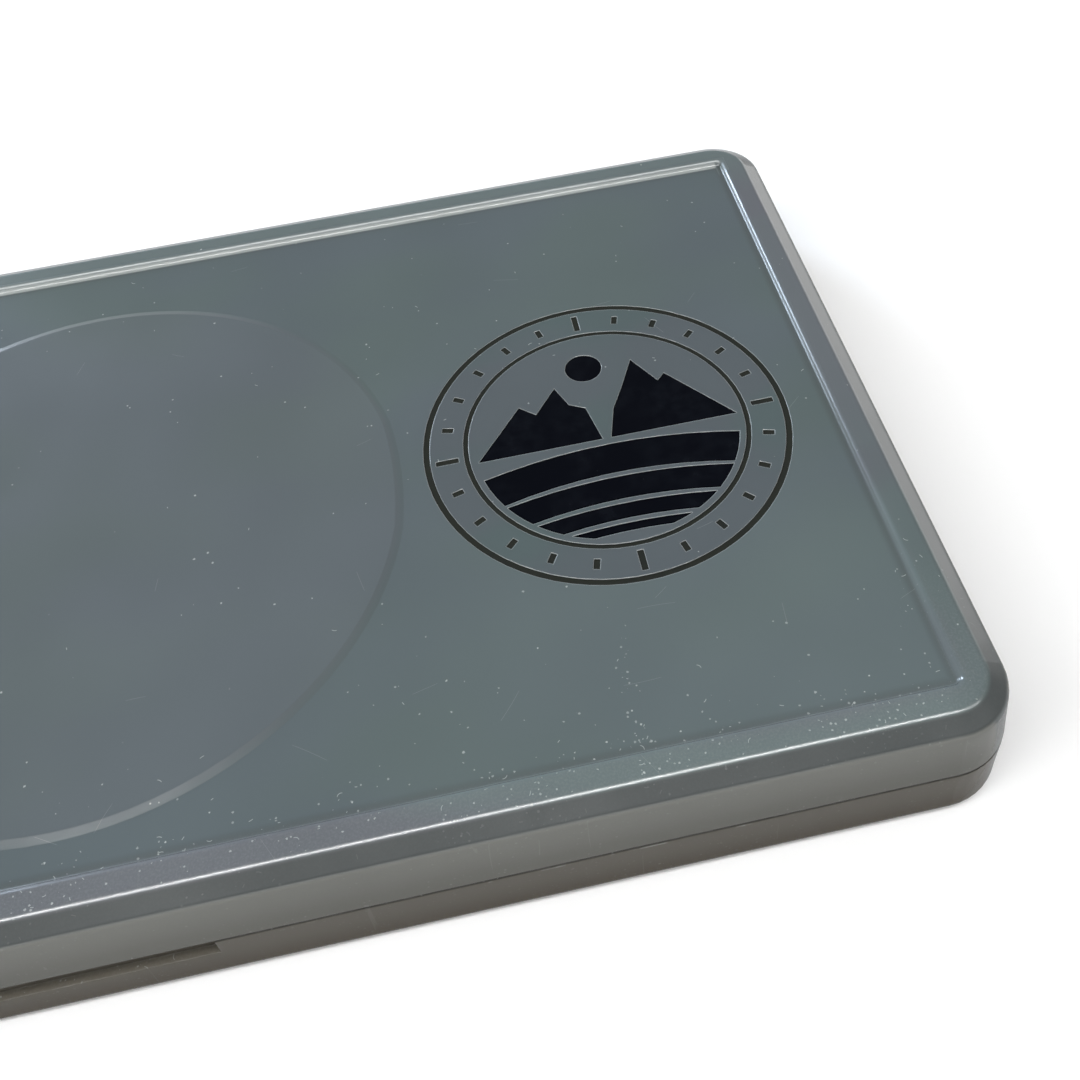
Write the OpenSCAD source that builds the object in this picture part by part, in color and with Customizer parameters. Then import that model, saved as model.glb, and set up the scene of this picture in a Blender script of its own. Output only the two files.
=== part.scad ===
// Slim hinged fly box: two thin moulded shells on two rear hinge pins, held shut by corner
// magnets, with a slotted silicone mat inside.
// Millimetres. X is along the box, +Y is the hinge side, -Y is the opening side, Z is up.
// The origin is under the middle of the closed box, hinge knuckles included.

/* [Case] */
// Overall length at the parting line
case_l = 181.6; // [170:0.2:200]
// Overall width at the parting line, without the hinge knuckles
case_w = 95.6; // [90:0.2:110]
// Height of the base, from the table to the parting plane
base_h = 7.6; // [7.2:0.1:10]
// Height of the lid, from the parting plane to the top of its rim
lid_h = 7.6; // [7.2:0.1:10]
// Corner radius in plan at the parting line
corner_r = 7; // [6.6:0.1:9]
// Wall thickness
wall = 1.8; // [1.7:0.05:2.2]
// Thickness of the lid's panel and of the base's floor
skin = 1.4; // [1.2:0.1:1.8]
// Gap between the closed shells at the parting line
parting_gap = 0.12; // [0.05:0.01:0.2]
// Rounding of both shells' outer edges at the parting line
seam_round = 0.15; // [0.05:0.05:0.25]
// Bevel where the walls meet the floor and the ceiling, inside
inside_round = 0.7; // [0.4:0.1:1]

/* [Lid edge] */
// Width from the parting line's outside to the edge of the sunk panel
frame_w = 5.8; // [5.4:0.1:6.2]
// Depth of the sunk panel below the rim
panel_sink = 0.65; // [0.5:0.05:1]
// Plan width of the slope between rim and panel, without its roundings
step_w = 0.4; // [0.35:0.05:0.6]
// Rounding of the slope's foot, where it meets the panel
step_foot = 0.35; // [0.2:0.05:0.4]
// Rounding of the slope's top, where it meets the rim
step_round = 0.7; // [0.3:0.05:0.75]
// Corner radius of the sunk panel in plan
panel_r = 0.4; // [0.3:0.1:1.2]
// Plan width of the bevel round the rim
bevel_w = 2.2; // [1.6:0.1:2.6]
// Height of the bevel round the rim
bevel_h = 1.3; // [1:0.1:1.8]
// Outward lean of the lid's wall between bevel and parting line
lid_lean = 0.5; // [0.2:0.05:0.8]
// Rounding of the edge between rim and bevel
rim_round = 1; // [0.5:0.1:1.4]
// Rounding of the edge between bevel and wall
shoulder_round = 0.8; // [0.4:0.1:1.2]

/* [Base edge] */
// Plan width of the bevel round the underside
foot_bevel_w = 1.2; // [0.8:0.1:1.5]
// Height of the bevel round the underside
foot_bevel_h = 1.2; // [0.8:0.1:1.6]
// Inward lean of the base's wall from parting line to bevel
base_lean = 0.1; // [0.05:0.05:0.3]
// Rounding of the edge between the underside's bevel and the wall
foot_round = 0.8; // [0.4:0.1:1]
// Width of the ring that the box stands on
foot_ring_w = 3; // [2:0.1:3.4]
// Depth of the sunk underside
foot_sink = 0.4; // [0.2:0.05:0.6]

/* [Seam lip] */
// Thickness of the lip that stands up inside the lid
lip_t = 0.8; // [0.7:0.05:0.9]
// Height of the lip above the base's rim
lip_h = 1.2; // [0.8:0.1:1.5]
// Bevel at the lip's tip
lip_lead = 0.25; // [0.1:0.05:0.4]
// Clearance between the lip and the lid
lip_gap = 0.15; // [0.1:0.01:0.2]

/* [Thumb notch] */
// Width of the notch in the front wall
thumb_w = 26; // [20:1:34]
// Depth of the notch into the wall
thumb_d = 0.9; // [0.5:0.05:1]
// Height of the notch below the parting line
thumb_h = 2.4; // [1.8:0.1:3]

/* [Raised oval on the lid] */
// Half length of the oval, along the box
oval_half = 35.7; // [30:0.1:38]
// Radius of its two long end arcs
oval_end_r = 53.8; // [48:0.2:60]
// Radius of its front and back arcs
oval_side_r = 36; // [33:0.5:37]
// Height above the panel
oval_rise = 0.25; // [0.15:0.05:0.4]
// Plan width of its sloped edge
oval_edge = 0.9; // [0.5:0.1:1.2]

/* [Round emblem] */
// Distance of the emblem's centre from the panel's right end
emblem_end = 25.6; // [24.4:0.1:28.6]
// Distance of the emblem's and oval's centre from the middle, towards the front
emblem_front = 2.6; // [0:0.1:4]
// Outer radius of the emblem's ring
emblem_r = 21.1; // [18:0.1:21.5]
// Line width of the ring
emblem_line = 0.7; // [0.5:0.05:1]
// Width of the band of ticks between the two rings
emblem_band = 4.6; // [3.5:0.1:5]
// Depth of the engraving
engrave_d = 0.2; // [0.15:0.05:0.3]
// Depth of the colour's surface below the panel
fill_sink = 0.08; // [0.04:0.01:0.1]

/* [Hinge] */
// Distance of each hinge's outer end from the end of the case
hinge_in = 29.6; // [20:0.2:40]
// Length of each hinge
hinge_l = 22.2; // [18:0.2:30]
// Length of each of the base's two knuckles
base_knuckle_l = 5.5; // [4:0.1:7]
// Gap between neighbouring knuckles
knuckle_gap = 0.3; // [0.2:0.05:0.5]
// Radius of the knuckles
knuckle_r = 1.9; // [1.7:0.05:2.1]
// Clearance between a knuckle and the other shell
knuckle_clear = 0.2; // [0.15:0.05:0.3]
// Distance of the hinge axis behind the rear wall
axis_out = 1.2; // [1:0.05:1.5]
// Radius of the hinge pins
pin_r = 0.8; // [0.6:0.05:0.9]
// Radial clearance of a pin in the base's knuckles
pin_grip_gap = 0.02; // [0.01:0.01:0.04]
// Radial clearance of a pin in the lid's knuckle
pin_turn_gap = 0.06; // [0.03:0.01:0.1]
// Distance of each pin's end inside the hinge's end
pin_inset = 0.3; // [0.1:0.1:1]

/* [Magnets] */
// Radius of the round magnets
magnet_r = 3; // [2.5:0.1:3.2]
// Thickness of the magnets
magnet_t = 1.6; // [1:0.1:2]
// Radial clearance of a magnet in its pocket
magnet_gap = 0.04; // [0.02:0.01:0.1]
// Depth of each magnet's face below the block's face
magnet_sink = 0.05; // [0.02:0.01:0.2]
// Side of the square corner blocks that hold the magnets
block_s = 9.4; // [9:0.1:10.4]
// Least thickness of a block's inner sides round the magnet
block_rim = 1.4; // [1:0.1:1.6]

/* [Mat] */
// Number of ribs across the box
rib_n = 14; // [8:1:14]
// Distance of the end ribs from the ends of the mat's main sheet
rib_margin = 1; // [0.5:0.1:3]
// Width of a rib at its foot
rib_foot = 4.4; // [3:0.1:5]
// Width of a rib at its top
rib_top = 2.6; // [1.6:0.1:3]
// Height of the ribs above the sheet
rib_h = 3.2; // [2:0.1:3.6]
// Distance of the ribs' ends from the mat's front and back edges
rib_inset = 3; // [1:0.2:8]
// Number of slots in each rib
slot_n = 12; // [6:1:12]
// Distance of the outermost slots from a rib's ends
slot_end = 5.7; // [3:0.1:8]
// Width of a slot
slot_w = 0.35; // [0.25:0.05:0.6]
// Thickness of the mat's sheet
mat_t = 1; // [0.8:0.1:1.4]
// Gap between the mat's edge and the walls and blocks
mat_gap = 1; // [0.6:0.1:2]
// Thickness of the adhesive film under the mat
film_t = 0.15; // [0.1:0.05:0.3]
// Distance of the film's edge inside the mat's edge
film_inset = 0.8; // [0.4:0.1:2]

/* [Hidden] */
$fn = 96;
// longer than the box, for cuts that run right through
big = 400;
// bare ring between the emblem's inner ring and its picture
emblem_margin = 1.3;
// lengths and width of the emblem's ticks
tick_l = 1.3;
long_tick_l = 2.6;
tick_w = 0.7;
// radii of the upper and lower edges of the emblem's water bands
wave_top_r = 60;
wave_foot_r = 52;
// how far solids that are joined reach into each other
overlap = 0.3;
// gap between the lid's magnet blocks and its lower edge
block_gap = 0.02;
z_part = base_h;
z_rim = base_h + lid_h;
z_panel = z_rim - panel_sink;
z_floor = foot_sink + skin;
z_ceiling = z_panel - skin;
z_base_rim = z_part - parting_gap / 2;
z_lid_rim = z_part + parting_gap / 2;
// the knuckles stand out behind, so the shells sit a little forward of the origin
knuckle_out = axis_out + knuckle_r;
shell_y = -knuckle_out / 2;
// distances between the corner centres
cx = case_l - 2 * corner_r;
cy = case_w - 2 * corner_r;
panel_cx = case_l - 2 * (frame_w + panel_r);
panel_cy = case_w - 2 * (frame_w + panel_r);
y_back = case_w / 2;
y_front = -case_w / 2;
axis_y = y_back + axis_out;
cavity_r = corner_r - wall;
rebate_r = cavity_r + lip_t + lip_gap;
z_rebate = z_base_rim + lip_h + lip_gap;
cavity_x = cx / 2 + cavity_r;
cavity_y = cy / 2 + cavity_r;
block_x = cavity_x - block_s;
block_y = cavity_y - block_s;
magnet_x = block_x + magnet_r + block_rim;
magnet_y = block_y + magnet_r + block_rim;
z_lid_block = z_lid_rim + block_gap;
z_base_magnet = z_base_rim - magnet_t - magnet_sink;
z_lid_magnet = z_lid_block + magnet_sink;
z_film = z_floor + film_t;
z_mat = z_film + mat_t;
rib_l = 2 * (cavity_y - mat_gap - rib_inset);
rib_row = 2 * (block_x - mat_gap - rib_margin) - rib_foot;
rib_pitch = rib_row / (rib_n - 1);
slot_row = rib_l - 2 * slot_end;
slot_pitch = slot_row / (slot_n - 1);
emblem_x = case_l / 2 - frame_w - emblem_end;
hinge_end = case_l / 2 - hinge_in;
hinge_start = hinge_end - hinge_l;
lid_knuckle_start = hinge_start + base_knuckle_l + knuckle_gap;
lid_knuckle_l = hinge_l - 2 * (base_knuckle_l + knuckle_gap);
lid_knuckle_end = lid_knuckle_start + lid_knuckle_l;

// Points of an arc from angle a0 to a1 about (x, z).
function arc(x, z, r, a0, a1, n) =
    [for (i = [0:n]) let (a = a0 + (a1 - a0) * i / n) [x + r * cos(a), z + r * sin(a)]];

// Arc that rounds the corner p between unit directions of angles a (coming in) and b (going out),
// at either hand.
function fillet(p, r, a, b, n) =
    let (s = sign(b - a), t = r * tan(abs(b - a) / 2))
    let (c = [p[0] - t * cos(a) - s * r * sin(a), p[1] - t * sin(a) + s * r * cos(a)])
    arc(c[0], c[1], r, a - s * 90, b - s * 90, n);

bevel_a = 180 - atan2(bevel_h, bevel_w);
wall_a = 90 + atan2(lid_lean, lid_h - bevel_h - parting_gap / 2);
base_a = 90 - atan2(base_lean, base_h - foot_bevel_h - parting_gap / 2);
foot_a = atan2(foot_bevel_h, foot_bevel_w);
shoulder_r = corner_r - lid_lean;
rim_r = shoulder_r - bevel_w;
foot_r = corner_r - base_lean;
foot_ring_r = foot_r - foot_bevel_w - foot_ring_w;

// Outside of the lid from its lower edge to its rim, as [corner radius, z].
lid_outside = concat(
    fillet([corner_r, z_lid_rim], seam_round, 0, wall_a, 3),
    fillet([shoulder_r, z_rim - bevel_h], shoulder_round, wall_a, bevel_a, 4),
    fillet([rim_r, z_rim], rim_round, bevel_a, 180, 3));

// Side of the sunk panel from the panel up to the rim, as [corner radius, z].
step_a = atan2(panel_sink, step_w);
step_start = panel_r + step_foot * tan(step_a / 2);
panel_side = concat(
    fillet([step_start, z_panel], step_foot, 0, step_a, 3),
    fillet([step_start + step_w, z_rim], step_round, step_a, 0, 4));
step_end = panel_side[len(panel_side) - 1][0];

// Outside of the base from its underside to its upper edge, as [corner radius, z].
base_outside = concat(
    [[foot_r - foot_bevel_w, 0]],
    fillet([foot_r, foot_bevel_h], foot_round, foot_a, base_a, 3),
    fillet([corner_r, z_base_rim], seam_round, base_a, 180, 3));

// A solid with rounded corners whose outside follows a profile of [corner radius, z].
module rounded(lx, ly, pts) {
    n = len(pts);
    z0 = pts[0][1];
    z1 = pts[n - 1][1];
    back = [for (i = [n - 1:-1:0]) pts[i]];
    translate([-lx / 2, 0, 0]) rotate([90, 0, 90]) linear_extrude(height = lx)
        polygon(concat([for (p = pts) [ly / 2 + p[0], p[1]]], [for (p = back) [-ly / 2 - p[0], p[1]]]));
    translate([0, ly / 2, 0]) rotate([90, 0, 0]) linear_extrude(height = ly)
        polygon(concat([for (p = pts) [lx / 2 + p[0], p[1]]], [for (p = back) [-lx / 2 - p[0], p[1]]]));
    for (sx = [-1, 1], sy = [-1, 1]) translate([sx * lx / 2, sy * ly / 2, 0]) rotate_extrude()
        polygon(concat([[0, z0]], pts, [[0, z1]]));
}

// A cylinder along X from x0 to x1 about the hinge axis.
module axle(r, x0, x1) {
    translate([x0, axis_y, z_part]) rotate([0, 90, 0]) cylinder(r = r, h = x1 - x0);
}

// The lid's or base's knuckle with a web (up = 1 or -1) back to its own wall.
module knuckle(x0, len, up) {
    axle(knuckle_r, x0, x0 + len);
    translate([x0, y_back - wall / 2, up > 0 ? z_part : z_part - knuckle_r])
        cube([len, axis_out + wall / 2, knuckle_r]);
}

// Room that one shell leaves round the other shell's knuckle.
module knuckle_room(x0, x1) { axle(knuckle_r + knuckle_clear, x0 - knuckle_gap, x1 + knuckle_gap); }

// Both hinges: children are drawn at the right and mirrored to the left.
module both_sides() {
    children();
    mirror([1, 0, 0]) children();
}

// Moves a part drawn about the middle of the shells to its place in the frame.
module place() { translate([0, shell_y, 0]) children(); }

// Bare outer body of the lid.
module lid_body() { rounded(cx, cy, lid_outside); }

// Bare outer body of the base.
module base_body() { rounded(cx, cy, base_outside); }

// Hollow of the lid and the rebate for the base's lip.
module lid_hollow() {
    top_r = cavity_r - lid_lean;
    rounded(cx, cy, [
        [cavity_r, z_lid_rim - 1],
        [cavity_r, z_part + lip_h],
        [top_r, z_ceiling - inside_round],
        [top_r - inside_round, z_ceiling]]);
    rounded(cx, cy, [[rebate_r, z_lid_rim - 1], [rebate_r, z_rebate]]);
}

// Hollow of the base.
module base_hollow() {
    rounded(cx, cy, [
        [cavity_r - inside_round, z_floor],
        [cavity_r, z_floor + inside_round],
        [cavity_r, z_part + lip_h + 1]]);
}

// Lip that stands on the base's inner edge.
module base_lip() {
    lip_r = cavity_r + lip_t;
    z_tip = z_base_rim + lip_h;
    difference() {
        rounded(cx, cy, [
            [lip_r, z_base_rim - 1],
            [lip_r, z_tip - lip_lead],
            [lip_r - lip_lead, z_tip]]);
        base_hollow();
    }
}

// Corner blocks between z0 and z1, inside the front corners.
module blocks(z0, z1) {
    for (s = [-1, 1]) intersection() {
        translate([s > 0 ? block_x : -big, -big, z0]) cube([big - block_x, big - block_y, z1 - z0]);
        rounded(cx, cy, [[cavity_r + overlap, z0 - 1], [cavity_r + overlap, z1 + 1]]);
    }
}

// Magnets or their pockets: discs of radius r and height h standing on z0.
module discs(r, h, z0) {
    both_sides() translate([magnet_x, -magnet_y, z0]) cylinder(r = r, h = h);
}

// Raised oval on the lid's panel.
module oval() {
    shift = oval_end_r - oval_half;
    translate([0, -emblem_front, z_panel - overlap]) intersection() {
        translate([-shift, 0, 0]) oval_disc(oval_end_r);
        translate([shift, 0, 0]) oval_disc(oval_end_r);
        oval_disc(oval_side_r);
    }
}

// One disc of the oval, with a straight foot and a sloped edge.
module oval_disc(r) {
    z_top = overlap + oval_rise;
    rotate_extrude($fn = 180) polygon([[0, 0], [r, 0], [r, overlap], [r - oval_edge, z_top], [0, z_top]]);
}

// Flat outline of the emblem, centred on the origin: two rings, ticks, peaks and ripples.
module emblem_shape() {
    inner = emblem_r - emblem_band;
    ring(emblem_r, emblem_line);
    ring(inner, emblem_line * 0.8);
    // ticks between the rings, longer at the quarters
    for (i = [0:23]) rotate(i * 15) {
        tick = i % 6 == 0 ? long_tick_l : tick_l;
        translate([(emblem_r + inner - emblem_line - tick) / 2, -tick_w / 2]) square([tick, tick_w]);
    }
    // peaks above the water line
    intersection() {
        circle(r = inner - emblem_margin);
        union() {
            polygon([
                [-15, -1], [-9.2, 6.2], [-7.4, 4.6], [-4.6, 8.2], [-3.4, 5.2], [-1.6, 4.2], [-0.6, -1]]);
            polygon([[0.4, -1], [1.6, 3.4], [3.4, 6.8], [5.2, 10.6], [7.6, 6.4], [8.6, 7.4], [15.2, -1]]);
        }
    }
    // low sun
    translate([-0.6, 10.6]) circle(r = 2.2);
    // water: broad bands with thin bare ripples between them
    wave(-1.9, -6.2, 0);
    wave(-6.8, -10, 1.6);
    wave(-10.6, -12.7, 4);
    wave(-13.3, -14.4, 8);
}

// Ring of outer radius r and line width w.
module ring(r, w) {
    difference() {
        circle(r = r);
        circle(r = r - w);
    }
}

// Band between two shallow arcs, cut to the emblem's inner disc and shortened by inset.
module wave(y1, y0, inset) {
    inner = emblem_r - emblem_band - emblem_margin;
    intersection() {
        circle(r = inner);
        translate([-inner + inset, -inner]) square([2 * (inner - inset), 2 * inner]);
        difference() {
            translate([0, y1 - wave_top_r]) circle(r = wave_top_r, $fn = 240);
            translate([0, y0 - wave_foot_r]) circle(r = wave_foot_r, $fn = 240);
        }
    }
}

// Emblem as a flat solid standing on z0.
module emblem(z0, h) {
    translate([emblem_x, -emblem_front, z0]) linear_extrude(height = h) emblem_shape();
}

// Base tray: walls, floor, lip, magnet blocks, rear knuckles and the thumb notch.
module base_shell() {
    color([0.33, 0.34, 0.34]) place() difference() {
        union() {
            difference() {
                base_body();
                base_hollow();
            }
            base_lip();
            blocks(z_floor - overlap, z_base_rim);
            both_sides() for (x = [hinge_start, hinge_end - base_knuckle_l]) knuckle(x, base_knuckle_l, -1);
        }
        rounded(cx, cy, [[foot_ring_r, -1], [foot_ring_r, foot_sink]]);
        both_sides() knuckle_room(lid_knuckle_start, lid_knuckle_end);
        both_sides() axle(pin_r + pin_grip_gap, hinge_start - 1, hinge_end + 1);
        discs(magnet_r + magnet_gap, magnet_t + magnet_sink + 1, z_base_magnet);
        translate([-thumb_w / 2, y_front - 1, z_base_rim - thumb_h])
            cube([thumb_w, 1 + thumb_d, thumb_h + 1]);
    }
}

// Lid: walls, bevelled rim, sunk panel, raised oval, magnet blocks and rear knuckles.
module lid_shell() {
    color([0.38, 0.4, 0.41]) place() difference() {
        union() {
            difference() {
                lid_body();
                lid_hollow();
                rounded(panel_cx, panel_cy, concat(panel_side, [[step_end, z_rim + 1]]));
            }
            oval();
            blocks(z_lid_block, z_ceiling + overlap);
            both_sides() knuckle(lid_knuckle_start, lid_knuckle_l, 1);
        }
        both_sides() for (x = [hinge_start, hinge_end - base_knuckle_l]) knuckle_room(x, x + base_knuckle_l);
        both_sides() axle(pin_r + pin_turn_gap, lid_knuckle_start - 1, lid_knuckle_end + 1);
        discs(magnet_r + magnet_gap, magnet_t + magnet_sink + 1, z_lid_block - 1);
        lip_room();
        emblem(z_panel - engrave_d, 1);
    }
}

// Room for the base's lip where it passes the lid's corner blocks.
module lip_room() {
    difference() {
        rounded(cx, cy, [[rebate_r, z_lid_rim - 1], [rebate_r, z_rebate]]);
        rounded(cx, cy, [[cavity_r - lip_gap, z_lid_rim - 2], [cavity_r - lip_gap, z_rebate + 1]]);
    }
}

// Colour that fills the engraving, just below the panel's surface.
module lid_emblem() {
    color([0.05, 0.05, 0.05]) place() emblem(z_panel - engrave_d, engrave_d - fill_sink);
}

// Steel pin of the right hinge.
module hinge_pin_right() {
    color([0.7, 0.7, 0.7]) place() axle(pin_r, hinge_start + pin_inset, hinge_end - pin_inset);
}

// Steel pin of the left hinge.
module hinge_pin_left() {
    color([0.7, 0.7, 0.7]) place() axle(pin_r, pin_inset - hinge_end, -hinge_start - pin_inset);
}

// One magnet at side s (1 right, -1 left), standing on z0.
module magnet(s, z0) {
    color([0.6, 0.6, 0.62]) place() translate([s * magnet_x, -magnet_y, z0])
        cylinder(r = magnet_r, h = magnet_t);
}

module base_magnet_right() { magnet(1, z_base_magnet); }
module base_magnet_left() { magnet(-1, z_base_magnet); }
module lid_magnet_right() { magnet(1, z_lid_magnet); }
module lid_magnet_left() { magnet(-1, z_lid_magnet); }

// Flat sheet with notches for the front blocks, standing on z0, drawn in by inset.
module sheet(z0, t, inset) {
    m = mat_gap + inset;
    translate([m - block_x, m - cavity_y, z0]) cube([2 * (block_x - m), 2 * (cavity_y - m), t]);
    translate([m - cavity_x, m - block_y, z0]) cube([2 * (cavity_x - m), block_y + cavity_y - 2 * m, t]);
}

// Adhesive film between the floor and the mat.
module mat_film() {
    color([0.8, 0.8, 0.75]) place() sheet(z_floor, film_t, film_inset);
}

// Silicone mat: a sheet with cross ribs, each cut by a row of slots.
module slit_mat() {
    color([0.75, 0.78, 0.78]) place() difference() {
        union() {
            sheet(z_film, mat_t, 0);
            for (i = [0:rib_n - 1]) translate([i * rib_pitch - rib_row / 2, rib_l / 2, 0]) rib();
        }
        for (j = [0:slot_n - 1]) {
            slot_y = j * slot_pitch - slot_row / 2;
            translate([-big / 2, slot_y - slot_w / 2, z_mat]) cube([big, slot_w, rib_h + 1]);
        }
    }
}

// One rib, along -Y from the origin.
module rib() {
    rotate([90, 0, 0]) linear_extrude(height = rib_l) polygon([
        [-rib_foot / 2, z_mat - overlap], [rib_foot / 2, z_mat - overlap], [rib_foot / 2, z_mat + overlap],
        [rib_top / 2, z_mat + rib_h], [-rib_top / 2, z_mat + rib_h], [-rib_foot / 2, z_mat + overlap]]);
}

// Which node to draw, or all

base_shell();
lid_shell();
lid_emblem();
hinge_pin_right();
hinge_pin_left();
base_magnet_right();
base_magnet_left();
lid_magnet_right();
lid_magnet_left();
slit_mat();
mat_film();
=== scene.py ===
"""Looks of a slim hinged fly box: smoke-grey moulded shells, a black emblem, a slotted mat.

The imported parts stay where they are. This file gives each of them its finish, sets the
floor, the lamps and the camera. X runs along the box, +Y is
the hinge side and Z is up. The stage is in metres. The finishes measure in millimetres,
apart from sizes whose name ends in _m.
"""

import sys
import logging
import math
from dataclasses import dataclass, field
from enum import Enum
from typing import Union

import bpy
from mathutils import Matrix, Vector

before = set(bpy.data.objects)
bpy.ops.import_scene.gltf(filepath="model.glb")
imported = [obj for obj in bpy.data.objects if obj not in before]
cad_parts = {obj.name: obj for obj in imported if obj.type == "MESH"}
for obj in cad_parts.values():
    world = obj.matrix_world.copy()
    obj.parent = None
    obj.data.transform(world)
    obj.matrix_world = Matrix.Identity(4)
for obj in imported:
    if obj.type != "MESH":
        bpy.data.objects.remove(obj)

LOG = logging.getLogger("fly_box")
Colour = tuple[float, float, float]
Point = tuple[float, float, float]
Span = tuple[float, float]
Feed = Union[bpy.types.NodeSocket, float, tuple]


class Slot(Enum):
    """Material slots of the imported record."""

    BASE = "base_plastic"
    LID = "lid_plastic"
    EMBLEM = "emblem_black"
    PIN = "pin_steel"
    MAGNET = "magnet_nickel"
    MAT = "mat_silicone"
    FILM = "film"


class Pin(Enum):
    """Kinds of sockets that an effect's node group can have."""

    NUMBER = "NodeSocketFloat"
    POINT = "NodeSocketVector"


class Tone(Enum):
    """Colours of the lamps' light."""

    PLAIN = (1.0, 1.0, 1.0)
    COOL = (0.70, 0.84, 1.0)


def linear(red: int, green: int, blue: int) -> Colour:
    """A colour as it is seen on a screen, turned into the linear values that a shader takes.

    Args:
        red, green, blue: the colour's parts, 0 to 255.

    Returns:
        The linear colour.
    """

    def one(part: int) -> float:
        """One part of the colour."""
        share = part / 255
        return share / 12.92 if share <= 0.04045 else ((share + 0.055) / 1.055) ** 2.4

    return one(red), one(green), one(blue)


class Graph:
    """A node tree, with short calls for the nodes that the finishes and effects use."""

    def __init__(self, tree: bpy.types.NodeTree) -> None:
        """Takes the tree that the nodes go into."""
        self.tree = tree

    def add(self, kind: str, feeds: dict[str, Feed] | None = None, **settings) -> bpy.types.Node:
        """Adds a node.

        Args:
            kind: the node's type without the words ShaderNode.
            feeds: values or sockets for its inputs, by name or by number as text.
            settings: its own settings.

        Returns:
            The node.
        """
        node = self.tree.nodes.new("ShaderNode" + kind)
        for name, value in settings.items():
            setattr(node, name, value)
        for name, value in (feeds or {}).items():
            self.feed(node.inputs[int(name) if name.isdigit() else name], value)
        return node

    def feed(self, socket: bpy.types.NodeSocket, value: Feed) -> None:
        """Links a socket to another, or sets its own value.

        Args:
            socket: the input.
            value: an output to link, a number, a point or a colour.
        """
        if isinstance(value, bpy.types.NodeSocket):
            self.tree.links.new(value, socket)
        elif socket.type == "RGBA" and len(value) == 3:
            socket.default_value = (*value, 1.0)
        else:
            socket.default_value = value

    def math(self, operation: str, a: Feed, b: Feed = 0.0, c: Feed = 0.0,
             clamp: bool = False) -> Feed:
        """Result of a Math node.

        Args:
            operation: the node's operation.
            a, b, c: its inputs.
            clamp: whether the result stays between 0 and 1.

        Returns:
            The output socket.
        """
        node = self.add("Math", operation=operation, use_clamp=clamp)
        for socket, value in zip(node.inputs, (a, b, c)):
            self.feed(socket, value)
        return node.outputs[0]

    def product(self, *factors: Feed) -> Feed:
        """Product of several numbers.

        Args:
            factors: the numbers.

        Returns:
            The output socket.
        """
        total = factors[0]
        for factor in factors[1:]:
            total = self.math("MULTIPLY", total, factor)
        return total

    def most(self, *numbers: Feed) -> Feed:
        """The largest of several numbers.

        Args:
            numbers: the numbers.

        Returns:
            The output socket.
        """
        top = numbers[0]
        for number in numbers[1:]:
            top = self.math("MAXIMUM", top, number)
        return top

    def gap(self, a: Feed, b: Feed) -> Feed:
        """How far apart two numbers are."""
        return self.math("ABSOLUTE", self.math("SUBTRACT", a, b))

    def points(self, operation: str, a: Feed, b: Feed = (0.0, 0.0, 0.0)) -> Feed:
        """The point that a Vector Math node makes of a and b."""
        return self.add("VectorMath", {"0": a, "1": b}, operation=operation).outputs["Vector"]

    def length(self, point: Feed) -> Feed:
        """A point's distance from the origin."""
        return self.add("VectorMath", {"0": point}, operation="LENGTH").outputs["Value"]

    def scaled(self, point: Feed, factor: Feed) -> Feed:
        """A point times a number."""
        node = self.add("VectorMath", {"0": point, "Scale": factor}, operation="SCALE")
        return node.outputs["Vector"]

    def split(self, point: Feed) -> tuple[Feed, Feed, Feed]:
        """The X, Y and Z of a point."""
        node = self.add("SeparateXYZ", {"0": point})
        return node.outputs[0], node.outputs[1], node.outputs[2]

    def joined(self, x: Feed, y: Feed, z: Feed = 0.0) -> Feed:
        """A point from its X, Y and Z."""
        return self.add("CombineXYZ", {"0": x, "1": y, "2": z}).outputs[0]

    def ramp(self, value: Feed, low: Feed, high: Feed, to_low: Feed = 0.0,
             to_high: Feed = 1.0) -> Feed:
        """A number taken smoothly from one range to another, and held at the ends.

        Args:
            value: the number.
            low, high: the range that it comes from.
            to_low, to_high: the range that it goes to.

        Returns:
            The output socket.
        """
        node = self.add("MapRange", {"0": value, "1": low, "2": high, "3": to_low, "4": to_high},
                        interpolation_type="SMOOTHSTEP")
        return node.outputs[0]

    def mixed(self, share: Feed, a: Feed, b: Feed, how: str = "MIX") -> Feed:
        """Two colours mixed.

        Args:
            share: how much of b, from 0 to 1.
            a, b: the colours.
            how: the node's blend type.

        Returns:
            The output socket.
        """
        node = self.add("Mix", data_type="RGBA", blend_type=how)
        for socket, value in zip((node.inputs[0], node.inputs[6], node.inputs[7]), (share, a, b)):
            self.feed(socket, value)
        return node.outputs[2]

    def noise(self, place: Feed, scale: Feed = 1.0, detail: float = 1.0,
              rough: float = 0.5) -> Feed:
        """Cloudy noise between 0 and 1.

        Args:
            place: the point.
            scale: clouds per unit of place.
            detail, rough: the node's detail and roughness.

        Returns:
            The output socket.
        """
        node = self.add("TexNoise", {"Vector": place, "Scale": scale, "Detail": detail,
                                     "Roughness": rough})
        return node.outputs["Fac"]

    def bump(self, height: Feed, strength: float, depth_m: float,
             normal: Feed | None = None) -> Feed:
        """Normal of a surface with fine relief.

        Args:
            height: the relief.
            strength: how much of it shows.
            depth_m: what a height of 1 stands for, in metres.
            normal: the normal without the relief, if it isn't the surface's own.

        Returns:
            The output socket.
        """
        node = self.add("Bump", {"Height": height, "Strength": strength, "Distance": depth_m})
        if normal is not None:
            self.feed(node.inputs["Normal"], normal)
        return node.outputs[0]

    def place_mm(self) -> Feed:
        """The surface's own place in the frame at rest, in millimetres."""
        return self.scaled(self.add("TexCoord").outputs["Object"], 1000.0)


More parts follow.
